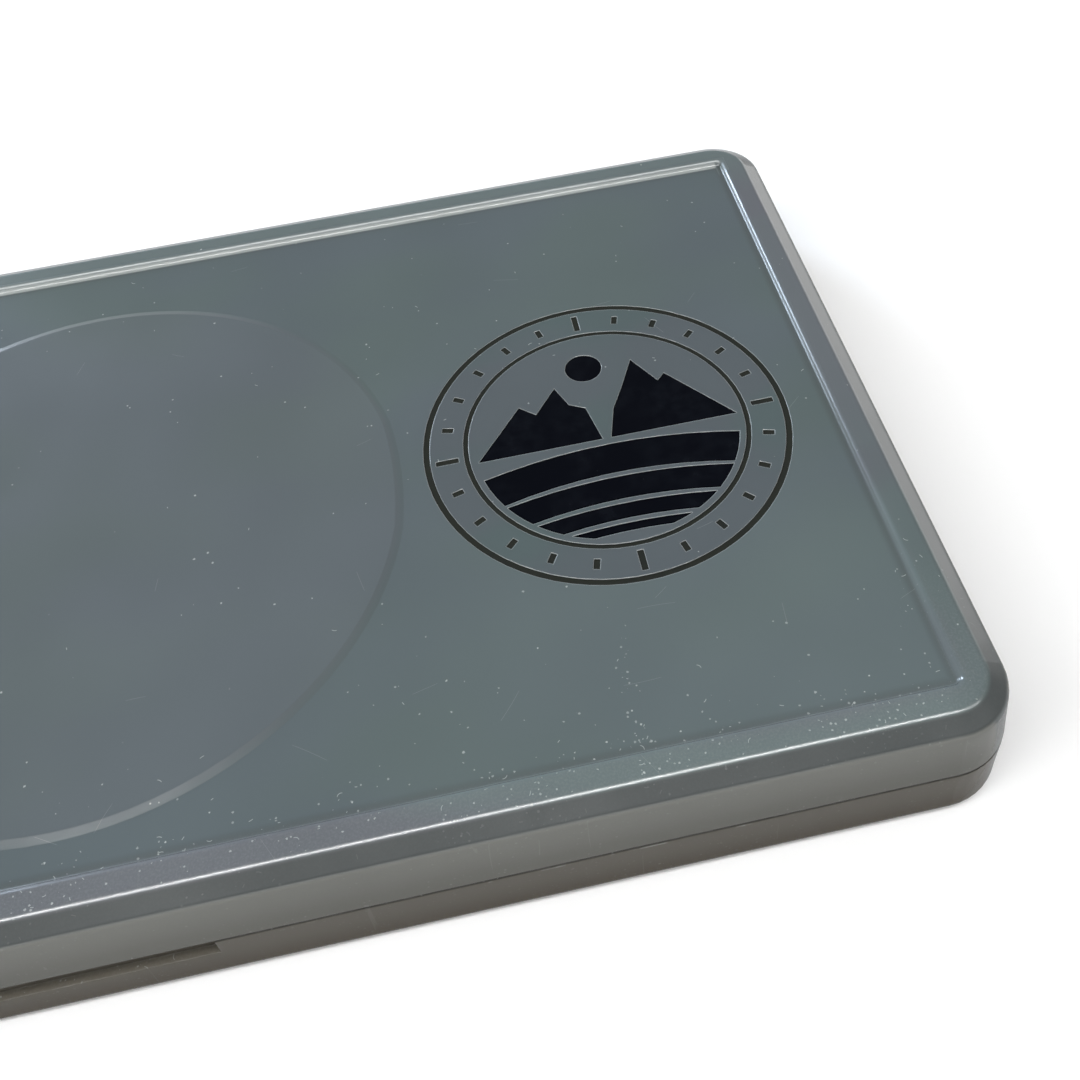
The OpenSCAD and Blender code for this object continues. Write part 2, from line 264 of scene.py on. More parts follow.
class Effect:
    """A node group that several finishes place, each with its own values. It is built once."""

    title = ""
    ins: dict[str, tuple[Pin, Feed]] = {}
    outs: dict[str, Pin] = {}

    def draw(self, g: Graph, pin: dict[str, bpy.types.NodeSocket]) -> dict[str, Feed]:
        """Makes the group's nodes.

        Args:
            g: the group's graph.
            pin: the group's inputs by name.

        Returns:
            What goes to each output, by name.
        """
        raise NotImplementedError

    def tree(self) -> bpy.types.NodeTree:
        """Makes the node group at the first call.

        Returns:
            The node group.
        """
        made = bpy.data.node_groups.get(self.title)
        if made:
            return made
        made = bpy.data.node_groups.new(self.title, "ShaderNodeTree")
        for name, (pin, value) in self.ins.items():
            socket = made.interface.new_socket(name, in_out="INPUT", socket_type=pin.value)
            if value is not None:
                socket.default_value = value
        for name, pin in self.outs.items():
            made.interface.new_socket(name, in_out="OUTPUT", socket_type=pin.value)
        g = Graph(made)
        start, end = made.nodes.new("NodeGroupInput"), made.nodes.new("NodeGroupOutput")
        pins = {s.name: s for s in start.outputs if s.name}
        for name, value in self.draw(g, pins).items():
            g.feed(end.inputs[name], value)
        return made

    def into(self, g: Graph, **feeds: Feed) -> dict[str, bpy.types.NodeSocket]:
        """Places the group in a material.

        Args:
            g: the material's graph.
            feeds: values or sockets for its inputs.

        Returns:
            The outputs by name.
        """
        return {s.name: s for s in g.add("Group", node_tree=self.tree(), feeds=feeds).outputs}


class EdgeWear(Effect):
    """Softly rounded normals at sharp edges, and a mask of those edges."""

    title = "edge_wear"
    ins = {"Radius": (Pin.NUMBER, 0.0001)}
    outs = {"Mask": Pin.NUMBER, "Normal": Pin.POINT}

    def draw(self, g: Graph, pin: dict[str, bpy.types.NodeSocket]) -> dict[str, Feed]:
        """Compares the rounded normal with the plain one.

        Args:
            g: the group's graph.
            pin: the group's inputs by name.

        Returns:
            What goes to each output, by name.
        """
        rounded = g.add("Bevel", {"Radius": pin["Radius"]}, samples=6).outputs[0]
        plain = g.add("NewGeometry").outputs["Normal"]
        alike = g.add("VectorMath", {"0": rounded, "1": plain}, operation="DOT_PRODUCT")
        return {"Mask": g.ramp(alike.outputs["Value"], 0.995, 0.8), "Normal": rounded}


class Specks(Effect):
    """Small crumbs of dust of uneven size, one at most in each cell."""

    title = "specks"
    ins = {"Place": (Pin.POINT, None), "Cell": (Pin.NUMBER, 1.0), "Size": (Pin.NUMBER, 0.1),
           "Share": (Pin.NUMBER, 0.3)}
    outs = {"Mask": Pin.NUMBER}

    def draw(self, g: Graph, pin: dict[str, bpy.types.NodeSocket]) -> dict[str, Feed]:
        """Keeps a share of the cells and draws a ragged spot in each.

        Args:
            g: the group's graph.
            pin: the group's inputs by name.

        Returns:
            What goes to each output, by name.
        """
        shake = g.add("TexNoise", {"Vector": pin["Place"], "Scale": 7.0, "Detail": 1.0})
        shift = g.scaled(g.points("SUBTRACT", shake.outputs["Color"], (0.5, 0.5, 0.5)), 0.16)
        place = g.points("ADD", pin["Place"], shift)
        cell = g.add("TexVoronoi", {"Vector": place, "Scale": g.math("DIVIDE", 1.0, pin["Cell"])})
        far = g.math("MULTIPLY", cell.outputs["Distance"], pin["Cell"])
        luck = g.add("SeparateColor", {"0": cell.outputs["Color"]}).outputs
        radius = g.math("MULTIPLY", pin["Size"], g.math("MULTIPLY_ADD", luck[0], 0.75, 0.25))
        spot = g.ramp(far, radius, g.math("MULTIPLY", radius, 0.45))
        kept = g.math("LESS_THAN", luck[1], pin["Share"])
        return {"Mask": g.product(spot, kept, g.math("MULTIPLY_ADD", luck[2], 0.6, 0.4))}


class Strokes(Effect):
    """Short thin strokes, one at most in each cell: lint where they bend, scratches where not."""

    title = "strokes"
    ins = {"Place": (Pin.POINT, None), "Cell": (Pin.NUMBER, 5.0), "Length": (Pin.NUMBER, 0.8),
           "Width": (Pin.NUMBER, 0.03), "Bend": (Pin.NUMBER, 0.5), "Share": (Pin.NUMBER, 0.3)}
    outs = {"Mask": Pin.NUMBER}

    def draw(self, g: Graph, pin: dict[str, bpy.types.NodeSocket]) -> dict[str, Feed]:
        """Turns each cell's own axes by chance and draws a bent line along the first.

        Args:
            g: the group's graph.
            pin: the group's inputs by name.

        Returns:
            What goes to each output, by name.
        """
        x, y, _ = g.split(pin["Place"])
        flat = g.joined(x, y)
        cell = g.add("TexVoronoi", {"Vector": flat, "Scale": g.math("DIVIDE", 1.0, pin["Cell"])},
                     voronoi_dimensions="2D")
        luck = g.add("SeparateColor", {"0": cell.outputs["Color"]}).outputs
        lx, ly, _ = g.split(g.points("SUBTRACT", flat, cell.outputs["Position"]))
        angle = g.math("MULTIPLY", luck[0], math.tau)
        cosine, sine = g.math("COSINE", angle), g.math("SINE", angle)
        along = g.math("ADD", g.product(lx, cosine), g.product(ly, sine))
        across = g.math("SUBTRACT", g.product(ly, cosine), g.product(lx, sine))
        curl = g.product(g.math("SUBTRACT", luck[1], 0.5), pin["Bend"], along, along)
        line = g.ramp(g.gap(across, curl), pin["Width"], g.math("MULTIPLY", pin["Width"], 0.4))
        reach = g.product(pin["Length"], g.math("MULTIPLY_ADD", luck[1], 0.7, 0.3))
        inside = g.ramp(g.math("ABSOLUTE", along), reach, g.math("MULTIPLY", reach, 0.7))
        kept = g.math("LESS_THAN", luck[2], pin["Share"])
        return {"Mask": g.product(line, inside, kept)}


class Smudges(Effect):
    """Cloudy marks of handling and of the melt's flow, between 0 and 1."""

    title = "smudges"
    ins = {"Place": (Pin.POINT, None), "Size": (Pin.NUMBER, 12.0)}
    outs = {"Broad": Pin.NUMBER, "Fine": Pin.NUMBER}

    def draw(self, g: Graph, pin: dict[str, bpy.types.NodeSocket]) -> dict[str, Feed]:
        """Broad clouds, and finer ones that come and go with clouds of their own.

        Args:
            g: the group's graph.
            pin: the group's inputs by name.

        Returns:
            What goes to each output, by name.
        """
        scale = g.math("DIVIDE", 1.0, pin["Size"])
        broad = g.noise(pin["Place"], scale, rough=0.4)
        fine = g.noise(pin["Place"], g.math("MULTIPLY", scale, 5.0), detail=2.0)
        patches = g.noise(pin["Place"], g.math("MULTIPLY", scale, 1.7), detail=0.0)
        patch = g.ramp(patches, 0.35, 0.7)
        return {"Broad": g.ramp(broad, 0.2, 0.8), "Fine": g.product(g.ramp(fine, 0.25, 0.8), patch)}


class MouldSkin(Effect):
    """Height of the faint waviness and pitting that a mould leaves."""

    title = "mould_skin"
    ins = {"Place": (Pin.POINT, None), "Size": (Pin.NUMBER, 1.0), "Pits": (Pin.NUMBER, 0.3)}
    outs = {"Height": Pin.NUMBER}

    def draw(self, g: Graph, pin: dict[str, bpy.types.NodeSocket]) -> dict[str, Feed]:
        """Soft waves with finer pitting on top.

        Args:
            g: the group's graph.
            pin: the group's inputs by name.

        Returns:
            What goes to each output, by name.
        """
        scale = g.math("DIVIDE", 1.0, pin["Size"])
        waves = g.noise(pin["Place"], scale, rough=0.4)
        pits = g.noise(pin["Place"], g.math("MULTIPLY", scale, 9.0), detail=2.0, rough=0.6)
        return {"Height": g.math("ADD", waves, g.product(pits, pin["Pits"]))}


@dataclass(frozen=True)
class Finish:
    """What every finish has: the slot it is for, and a material with one Principled shader."""

    slot: Slot

    def dress(self, g: Graph, shader: bpy.types.Node) -> None:
        """Feeds the shader; each finish has its own way.

        Args:
            g: the material's graph.
            shader: its Principled BSDF.
        """
        raise NotImplementedError

    def feed(self, g: Graph, shader: bpy.types.Node, colour: Feed, rough: Feed,
             normal: Feed) -> None:
        """Feeds the shader's inputs that vary over the surface in every finish."""
        for name, value in (("Base Color", colour), ("Roughness", rough), ("Normal", normal)):
            g.feed(shader.inputs[name], value)

    def material(self) -> bpy.types.Material:
        """Makes the material at the first call.

        Returns:
            The material.
        """
        name = f"{self.slot.value}_finish"
        made = bpy.data.materials.get(name)
        if made:
            return made
        made = bpy.data.materials.new(name)
        made.use_nodes = True
        self.dress(Graph(made.node_tree), made.node_tree.nodes["Principled BSDF"])
        return made


@dataclass(frozen=True)
class Dusting:
    """Where crumbs, lint and hairlines lie on the box: thickest along the front of the lid.

    A Span says where something starts and where it is full: along Y for one that ends in
    _y, outside the panel's edge for _past, and on a cloudy noise for _tone.
    """

    level_up: Span = (0.88, 0.97)
    front_y: Span = (-24.0, -43.0)
    tuft_scale: float = 0.14
    tuft_tone: Span = (0.42, 0.6)
    step_past: Span = (-2.6, -0.6)
    step_share: float = 0.8
    front_share: float = 0.05
    least_share: float = 0.012
    trail_x: float = 54.6
    trail_sway: float = 5.0
    trail_sway_scale: float = 0.28
    trail_half: Span = (1.3, 0.4)
    trail_y: Span = (-29.0, -34.0)
    trail_past: Span = (0.0, -0.3)
    frost_scale: float = 4.4
    frost_tone: Span = (0.35, 0.85)
    frost_past: Span = (-0.6, 0.6)
    frost: Span = (0.02, 0.09)
    fine_light: float = 0.6
    coarse_light: float = 0.9
    lint_light: float = 0.4
    line_light: float = 0.1
    on_walls: float = 0.15

    def share(self, g: Graph, place: Feed, past: Feed, near_front: Feed) -> Feed:
        """The share of a pattern's cells that hold a crumb.

        Args:
            g: the material's graph.
            place: the point in millimetres.
            past: its distance outside the panel's edge.
            near_front: 1 at the front edge, 0 from the middle on.

        Returns:
            The share's socket.
        """
        x, y, _ = g.split(place)
        tufts = g.ramp(g.noise(place, self.tuft_scale), *self.tuft_tone)
        beside_step = g.product(g.ramp(past, *self.step_past), near_front, tufts)
        sway = g.math("SUBTRACT", g.noise(place, self.trail_sway_scale), 0.5)
        middle = g.math("MULTIPLY_ADD", sway, self.trail_sway, self.trail_x)
        trail = g.product(g.ramp(g.gap(x, middle), *self.trail_half),
                          g.ramp(y, *self.trail_y), g.ramp(past, *self.trail_past))
        share = g.math("MULTIPLY_ADD", near_front, self.front_share, self.least_share)
        return g.math("ADD", share, g.math("MULTIPLY_ADD", beside_step, self.step_share, trail))

    def masks(self, g: Graph, place: Feed, past: Feed, amount: float) -> tuple[Feed, Feed]:
        """Masks of all that lies on the surface.

        Args:
            g: the material's graph.
            place: the point in millimetres.
            past: its distance outside the panel's edge.
            amount: how much dust there is, from 0 to 1.

        Returns:
            The mask of what is light in colour, and of what is dull.
        """
        on_top = g.ramp(g.split(g.add("NewGeometry").outputs["Normal"])[2], *self.level_up)
        near_front = g.ramp(g.split(place)[1], *self.front_y)
        share = self.share(g, place, past, near_front)
        fine = Specks().into(g, Place=place, Cell=0.5, Size=0.18, Share=g.product(share, 0.85))
        coarse = Specks().into(g, Place=place, Cell=1.6, Size=0.22, Share=share)
        lint = Strokes().into(g, Place=place, Cell=1.8, Length=0.34, Width=0.05, Bend=3.0,
                              Share=g.product(share, 0.8))
        line = Strokes().into(g, Place=place, Cell=7.0, Length=2.6, Width=0.02, Bend=0.05,
                              Share=0.12)
        clouds = g.noise(place, self.frost_scale, detail=2.0, rough=0.6)
        frost = g.product(g.ramp(clouds, *self.frost_tone, *self.frost), near_front,
                          g.ramp(past, *self.frost_past))
        light = g.most(g.product(fine["Mask"], self.fine_light),
                       g.product(coarse["Mask"], self.coarse_light),
                       g.product(lint["Mask"], self.lint_light), frost)
        cover = g.math("MULTIPLY_ADD", on_top, 1.0 - self.on_walls, self.on_walls)
        light = g.product(light, cover, amount)
        scratch = g.product(line["Mask"], on_top)
        return g.most(light, g.product(scratch, self.line_light)), g.most(light, scratch)


@dataclass(frozen=True)
class SmokePlastic(Finish):
    """Glossy, slightly cloudy smoke-grey plastic, with dust and light marks of handling.

    A Span says where something starts and where it is full: along an axis for one that
    ends in _x, _y or _z, outside the panel's edge for _past, and on a cloudy noise for
    _tone. A wall's colour darkens from its high colour to its low one towards the bottom,
    which is painted shade. Painted shade also lies on the bevel, along the panel's edge and
    in the seam, and painted highlights lie on sharp edges, along the far step's foot and
    along the seam. The step is the slope between the panel and the rim, and its crest
    catches the light along the hinge side.
    """

    panel_green: Colour = linear(84, 95, 95)
    panel_blue: Colour = linear(84, 93, 97)
    emblem_ground: Colour = linear(77, 89, 90)
    emblem_mauve: Colour = linear(80, 87, 91)
    rim_pale: Colour = linear(95, 106, 106)
    rim_mauve: Colour = linear(94, 97, 102)
    # Colour of painted shade: on the outer bevel and along the panel's edge.
    painted_shade_colour: Colour = linear(71, 75, 75)
    # Colour of painted highlights: on sharp edges, along the far step's foot and along the seam.
    painted_highlight_colour: Colour = linear(178, 184, 182)
    wall_high: Colour = linear(114, 115, 110)
    # Painted shade: the walls' colour darkens to this one towards the bottom.
    wall_shaded_low: Colour = linear(90, 90, 84)
    inside_colour: Colour = linear(96, 101, 101)
    # Colour of the painted shadow line along the seam between lid and base.
    seam_shade_colour: Colour = linear(30, 30, 28)
    dust_colour: Colour = linear(196, 202, 198)

    roughness: float = 0.18
    smudged_rougher: float = 0.04
    crest_rougher: float = 0.2
    dust_rougher: float = 0.4
    gloss: float = 0.5
    refraction: float = 1.49
    coat: float = 0.3
    coat_off_crest: float = 0.25
    coat_roughness: float = 0.07
    haze: float = 0.07
    dust: float = 1.0
    dusting: Dusting = Dusting()
    edge_radius_m: float = 0.00018
    relief: float = 0.35
    relief_m: float = 0.00003
    dust_height: float = 0.5

    tone_scale: Point = (0.045, 0.08, 0.05)
    panel_half: Span = (85.0, 42.0)
    panel_middle: float = -1.55
    panel_tone: Span = (0.3, 0.7)
    # Painted light: the panel lightens towards the front right.
    painted_light_x: Span = (20.0, 65.0)
    painted_light_y: Span = (0.0, -42.0)
    painted_light_share: Span = (0.15, 0.5)
    step_past: Span = (-0.2, 0.6)
    # Painted shade: a dark soft line along the panel's edge, at the foot of the step:
    step_shade_inner_past: Span = (-1.0, -0.1)
    step_shade_outer_past: Span = (0.5, 0.0)
    step_shade_share: float = 0.45
    far_step_past: Span = (1.2, 0.8)
    far_step_y: Span = (38.0, 39.0)
    crest_z: Span = (14.7, 14.9)
    # Painted highlight: a light line along the foot of the far step:
    foot_z: Span = (15.15, 14.62)
    foot_past: Span = (-0.5, -0.2)
    foot_x: Span = (84.8, 84.4)
    foot_highlight_share: float = 0.7

    rim_tone: Span = (0.38, 0.66)
    rim_far_y: Span = (44.0, 34.0)
    mauve_x: Span = (82.0, 86.0)
    mauve_y: Span = (-32.0, -8.0)
    mauve_share: float = 0.75
    green_x: Span = (82.0, 88.0)
    green_y: Span = (0.0, -35.0)
    green_share: float = 0.9
    # Painted shade on the outer bevel:
    bevel_shade_z: Span = (15.16, 14.9)
    bevel_shade_past: Span = (1.6, 2.0)
    coat_z: Span = (14.0, 14.3)
    top_z: Span = (14.1, 13.8)

    oval_half: float = 35.7
    oval_end_r: float = 53.8
    oval_side_r: float = 36.0
    oval_edge: Span = (0.0, -0.9)
    oval_share: float = 0.3
    emblem_middle: Span = (59.4, -4.15)
    emblem_highlight_reach: Span = (22.1, 21.1)
    emblem_inside: Span = (21.2, 20.7)
    emblem_tone: Span = (0.42, 0.58)
    # Painted highlight on the emblem's edges, and a fainter one on every sharp edge:
    emblem_highlight_share: float = 0.65
    edge_share: float = 0.05

    wall_z: Span = (13.9, 7.7)
    cavity_past: Span = (4.6, 4.2)
    seam_z: float = 7.6
    # Painted shade: a dark line along the seam between lid and base:
    seam_shade_off: Span = (0.24, 0.1)
    seam_shade_share: float = 0.75
    # Painted glints: bright dashes along the base's top edge, below the seam:
    glint_z: float = 7.3
    glint_off: Span = (0.16, 0.05)
    glint_scale: Point = (0.14, 0.14, 0.0)
    glint_tone: Span = (0.55, 0.66)
    glint_share: float = 0.4

    def dress(self, g: Graph, shader: bpy.types.Node) -> None:
        """Colour by place, then clouds, dust, lint and hairlines, with painted highlights on sharp
        edges, strongest round the emblem.

        Args:
            g: the material's graph.
            shader: its Principled BSDF.
        """
        place = g.place_mm()
        z = g.split(place)[2]
        past = self.past_panel(g, place)
        smudge = Smudges().into(g, Place=place, Size=16.0)
        wear = EdgeWear().into(g, Radius=self.edge_radius_m)
        skin = MouldSkin().into(g, Place=place, Size=2.4, Pits=0.5)
        dust, dull = self.dusting.masks(g, place, past, self.dust)
        crest = g.product(self.at_far_step(g, place, past), g.ramp(z, *self.crest_z))

        cloud = g.math("MULTIPLY_ADD", g.math("SUBTRACT", smudge["Broad"], 0.5), self.haze, 1.0)
        colour = g.mixed(1.0, self.body_colour(g, place, past), g.joined(cloud, cloud, cloud),
                         "MULTIPLY")
        # Painted highlight: sharp edges are lightened, strongly round the emblem and faintly
        # elsewhere.
        emblem_highlight = g.product(wear["Mask"], g.ramp(self.from_emblem(g, place), *self.emblem_highlight_reach))
        paler = g.math("MULTIPLY_ADD", emblem_highlight, self.emblem_highlight_share,
                       g.product(wear["Mask"], self.edge_share))
        colour = g.mixed(paler, colour, self.painted_highlight_colour)
        colour = g.mixed(dust, colour, self.dust_colour)

        rough = g.math("MULTIPLY_ADD", smudge["Fine"], self.smudged_rougher, self.roughness)
        rough = g.math("MULTIPLY_ADD", smudge["Broad"], self.smudged_rougher, rough)
        rough = g.math("MULTIPLY_ADD", crest, self.crest_rougher, rough)
        rough = g.math("MULTIPLY_ADD", dull, self.dust_rougher, rough, clamp=True)
        height = g.math("MULTIPLY_ADD", dust, self.dust_height, skin["Height"])
        normal = g.bump(height, self.relief, self.relief_m, wear["Normal"])
        self.feed(g, shader, colour, rough, normal)
        coat = g.math("MULTIPLY_ADD", crest, -self.coat_off_crest, self.coat)
        g.feed(shader.inputs["Coat Weight"], g.product(g.ramp(z, *self.coat_z), coat))
        shader.inputs["IOR"].default_value = self.refraction
        shader.inputs["Specular IOR Level"].default_value = self.gloss
        shader.inputs["Coat Roughness"].default_value = self.coat_roughness

    def past_panel(self, g: Graph, place: Feed) -> Feed:
        """How far the point lies outside the sunk panel's edge, less than 0 inside it.

        Args:
            g: the material's graph.
            place: the point in millimetres.

        Returns:
            The distance's socket.
        """
        x, y, _ = g.split(place)
        half_x, half_y = self.panel_half
        return g.most(g.math("SUBTRACT", g.math("ABSOLUTE", x), half_x),
                      g.math("SUBTRACT", g.gap(y, self.panel_middle), half_y))

    def body_colour(self, g: Graph, place: Feed, past: Feed) -> Feed:
        """Colour of the lid's top, the walls and the inside, with painted shade on the bevel and
        along the panel's edge, and a painted highlight along the far step's foot.

        Args:
            g: the material's graph.
            place: the point in millimetres.
            past: its distance outside the panel's edge.

        Returns:
            The colour's socket.
        """
        z = g.split(place)[2]
        tone = g.noise(g.points("MULTIPLY", place, self.tone_scale), rough=0.4)
        rim = self.rim_colour(g, place, tone)
        top = g.mixed(g.ramp(past, *self.step_past), self.panel_colour(g, place, tone), rim)
        # Painted shade: a dark soft line along the panel's edge, at the foot of the step.
        step_shade = g.product(g.ramp(past, *self.step_shade_inner_past),
                           g.ramp(past, *self.step_shade_outer_past))
        top = g.mixed(g.product(step_shade, self.step_shade_share), top, self.painted_shade_colour)
        # Painted highlight: a light line along the foot of the step on the hinge side.
        foot = g.product(self.at_far_step(g, place, past), g.ramp(z, *self.foot_z),
                         g.ramp(past, *self.foot_past),
                         g.ramp(g.math("ABSOLUTE", g.split(place)[0]), *self.foot_x))
        top = g.mixed(g.product(foot, self.foot_highlight_share), top, self.painted_highlight_colour)
        # Painted shade: the outer bevel is darkened.
        bevel = g.product(g.ramp(z, *self.bevel_shade_z), g.ramp(past, *self.bevel_shade_past))
        top = g.mixed(bevel, top, self.painted_shade_colour)
        ground = g.mixed(g.ramp(tone, *self.emblem_tone), self.emblem_ground, self.emblem_mauve)
        top = g.mixed(g.ramp(self.from_emblem(g, place), *self.emblem_inside), top, ground)
        return g.mixed(g.ramp(z, *self.top_z), top, self.wall_colour(g, place, past))

    def panel_colour(self, g: Graph, place: Feed, tone: Feed) -> Feed:
        """Colour of the sunk panel, with painted light that lightens it towards the front right,
        and of the oval on it.

        Args:
            g: the material's graph.
            place: the point in millimetres.
            tone: a cloudy noise.

        Returns:
            The colour's socket.
        """
        x, y, _ = g.split(place)
        panel = g.mixed(g.ramp(tone, *self.panel_tone), self.panel_green, self.panel_blue)
        # Painted light: the panel is mixed towards the pale rim colour at the front right.
        paler = g.product(g.ramp(y, *self.painted_light_y), g.ramp(x, *self.painted_light_x, *self.painted_light_share))
        panel = g.mixed(paler, panel, self.rim_pale)
        return g.mixed(g.product(self.in_oval(g, place), self.oval_share), panel, self.rim_mauve)

    def rim_colour(self, g: Graph, place: Feed, tone: Feed) -> Feed:
        """Colour of the rim: mauve in clouds and along the right, greener at the front right.

        Args:
            g: the material's graph.
            place: the point in millimetres.
            tone: a cloudy noise.

        Returns:
            The colour's socket.
        """
        x, y, _ = g.split(place)
        at_right = g.product(g.ramp(x, *self.mauve_x), g.ramp(y, *self.mauve_y), self.mauve_share)
        mauve = g.product(g.most(g.ramp(tone, *self.rim_tone), at_right),
                          g.ramp(y, *self.rim_far_y))
        rim = g.mixed(mauve, self.rim_pale, self.rim_mauve)
        greener = g.product(g.ramp(x, *self.green_x), g.ramp(y, *self.green_y), self.green_share)
        return g.mixed(greener, rim, self.panel_green)

    def wall_colour(self, g: Graph, place: Feed, past: Feed) -> Feed:
        """Colour of the walls and the inside, darker towards the bottom as painted shade, with a
        painted shadow line and painted glints along the seam.

        Args:
            g: the material's graph.
            place: the point in millimetres.
            past: its distance outside the panel's edge.

        Returns:
            The colour's socket.
        """
        z = g.split(place)[2]
        # Painted shade: the wall darkens towards the bottom.
        wall = g.mixed(g.ramp(z, *self.wall_z), self.wall_high, self.wall_shaded_low)
        wall = g.mixed(g.ramp(past, *self.cavity_past), wall, self.inside_colour)
        # Painted shade: a dark line along the seam, where shade falls between lid and base.
        seam_shade = g.product(g.ramp(g.gap(z, self.seam_z), *self.seam_shade_off), self.seam_shade_share)
        wall = g.mixed(seam_shade, wall, self.seam_shade_colour)
        # Painted glints: bright dashes just below the seam, in the painted highlight colour.
        spells = g.noise(g.points("MULTIPLY", place, self.glint_scale), detail=4.0, rough=0.7)
        glint = g.product(g.ramp(g.gap(z, self.glint_z), *self.glint_off),
                          g.ramp(spells, *self.glint_tone), self.glint_share)
        return g.mixed(glint, wall, self.painted_highlight_colour)

    def at_far_step(self, g: Graph, place: Feed, past: Feed) -> Feed:
        """1 on the step between the panel and the rim along the hinge side, 0 elsewhere.

        Args:
            g: the material's graph.
            place: the point in millimetres.
            past: its distance outside the panel's edge.

        Returns:
            The mask's socket.
        """
        near = g.ramp(g.math("ABSOLUTE", past), *self.far_step_past)
        return g.product(near, g.ramp(g.split(place)[1], *self.far_step_y))

    def from_emblem(self, g: Graph, place: Feed) -> Feed:
        """The point's distance from the emblem's middle, in plan.

        Args:
            g: the material's graph.
            place: the point in millimetres.

        Returns:
            The distance's socket.
        """
        x, y, _ = g.split(place)
        middle_x, middle_y = self.emblem_middle
        return g.length(g.joined(g.math("SUBTRACT", x, middle_x), g.math("SUBTRACT", y, middle_y)))

    def in_oval(self, g: Graph, place: Feed) -> Feed:
        """1 on the raised oval, 0 outside it.

        Args:
            g: the material's graph.
            place: the point in millimetres.

        Returns:
            The mask's socket.
        """
        x, y, _ = g.split(place)
        y_off = g.math("SUBTRACT", y, self.emblem_middle[1])
        end_x = g.math("ADD", g.math("ABSOLUTE", x), self.oval_end_r - self.oval_half)
        past_end = g.math("SUBTRACT", g.length(g.joined(end_x, y_off)), self.oval_end_r)
        past_side = g.math("SUBTRACT", g.length(g.joined(x, y_off)), self.oval_side_r)
        return g.ramp(g.most(past_end, past_side), *self.oval_edge)


@dataclass(frozen=True)
class EmblemInk(Finish):
    """Glossy black filling of the engraved emblem, with a faint bloom of dust."""

    colour: Colour = linear(3, 5, 12)
    thin_colour: Colour = linear(40, 42, 38)
    smear_colour: Colour = linear(26, 30, 36)
    dust_colour: Colour = linear(120, 126, 128)
    middle: Span = (59.4, -4.15)
    picture_edge: Span = (15.6, 16.2)
    roughness: float = 0.08
    smudged_rougher: float = 0.06
    gloss: float = 0.12
    smear_share: float = 0.25
    dust_share: float = 0.5
    edge_radius_m: float = 0.0001
    relief: float = 0.4
    relief_m: float = 0.00002

    def dress(self, g: Graph, shader: bpy.types.Node) -> None:
        """Blue-black ink, slightly uneven, thinner in the rings, its edges caught by the light.

        Args:
            g: the material's graph.
            shader: its Principled BSDF.
        """
        place = g.place_mm()
        smudge = Smudges().into(g, Place=place, Size=7.0)
        speck = Specks().into(g, Place=place, Cell=0.8, Size=0.1, Share=0.05)
        wear = EdgeWear().into(g, Radius=self.edge_radius_m)
        skin = MouldSkin().into(g, Place=place, Size=0.7, Pits=0.3)
        x, y, _ = g.split(g.points("SUBTRACT", place, (*self.middle, 0.0)))
        in_rings = g.ramp(g.length(g.joined(x, y)), *self.picture_edge)
        ink = g.mixed(in_rings, self.colour, self.thin_colour)
        ink = g.mixed(g.product(smudge["Fine"], self.smear_share), ink, self.smear_colour)
        ink = g.mixed(g.product(speck["Mask"], self.dust_share), ink, self.dust_colour)
        rough = g.math("MULTIPLY_ADD", smudge["Broad"], self.smudged_rougher, self.roughness)
        normal = g.bump(skin["Height"], self.relief, self.relief_m, wear["Normal"])
        self.feed(g, shader, ink, rough, normal)
        shader.inputs["Specular IOR Level"].default_value = self.gloss


@dataclass(frozen=True)
class Silicone(Finish):
    """Soft matt silicone of the mat, a little translucent, with a fine bloom."""

    colour: Colour = linear(176, 186, 188)
    cloud_colour: Colour = linear(128, 140, 143)
    edge_colour: Colour = linear(205, 212, 212)
    speck_colour: Colour = linear(96, 98, 96)
    cloud_share: float = 0.22
    edge_share: float = 0.35
    speck_share: float = 0.6
    roughness: float = 0.5
    smudged_rougher: float = 0.2
    refraction: float = 1.41
    scatter: float = 0.35
    scatter_m: float = 0.0015
    edge_radius_m: float = 0.00025
    relief: float = 0.5
    relief_m: float = 0.00005

    def dress(self, g: Graph, shader: bpy.types.Node) -> None:
        """Milky colour, greyer in patches and paler at the ribs' edges.

        Args:
            g: the material's graph.
            shader: its Principled BSDF.
        """
        place = g.place_mm()
        smudge = Smudges().into(g, Place=place, Size=9.0)
        speck = Specks().into(g, Place=place, Cell=1.1, Size=0.11, Share=0.12)
        wear = EdgeWear().into(g, Radius=self.edge_radius_m)
        skin = MouldSkin().into(g, Place=place, Size=0.5, Pits=0.6)
        cloudy = g.product(smudge["Broad"], self.cloud_share)
        milky = g.mixed(cloudy, self.colour, self.cloud_colour)
        milky = g.mixed(g.product(wear["Mask"], self.edge_share), milky, self.edge_colour)
        milky = g.mixed(g.product(speck["Mask"], self.speck_share), milky, self.speck_colour)
        rough = g.math("MULTIPLY_ADD", smudge["Fine"], self.smudged_rougher, self.roughness)
        normal = g.bump(skin["Height"], self.relief, self.relief_m, wear["Normal"])
        self.feed(g, shader, milky, rough, normal)
        shader.inputs["IOR"].default_value = self.refraction
        shader.inputs["Subsurface Weight"].default_value = self.scatter
        shader.inputs["Subsurface Radius"].default_value = (1.0, 1.0, 1.0)
        shader.inputs["Subsurface Scale"].default_value = self.scatter_m


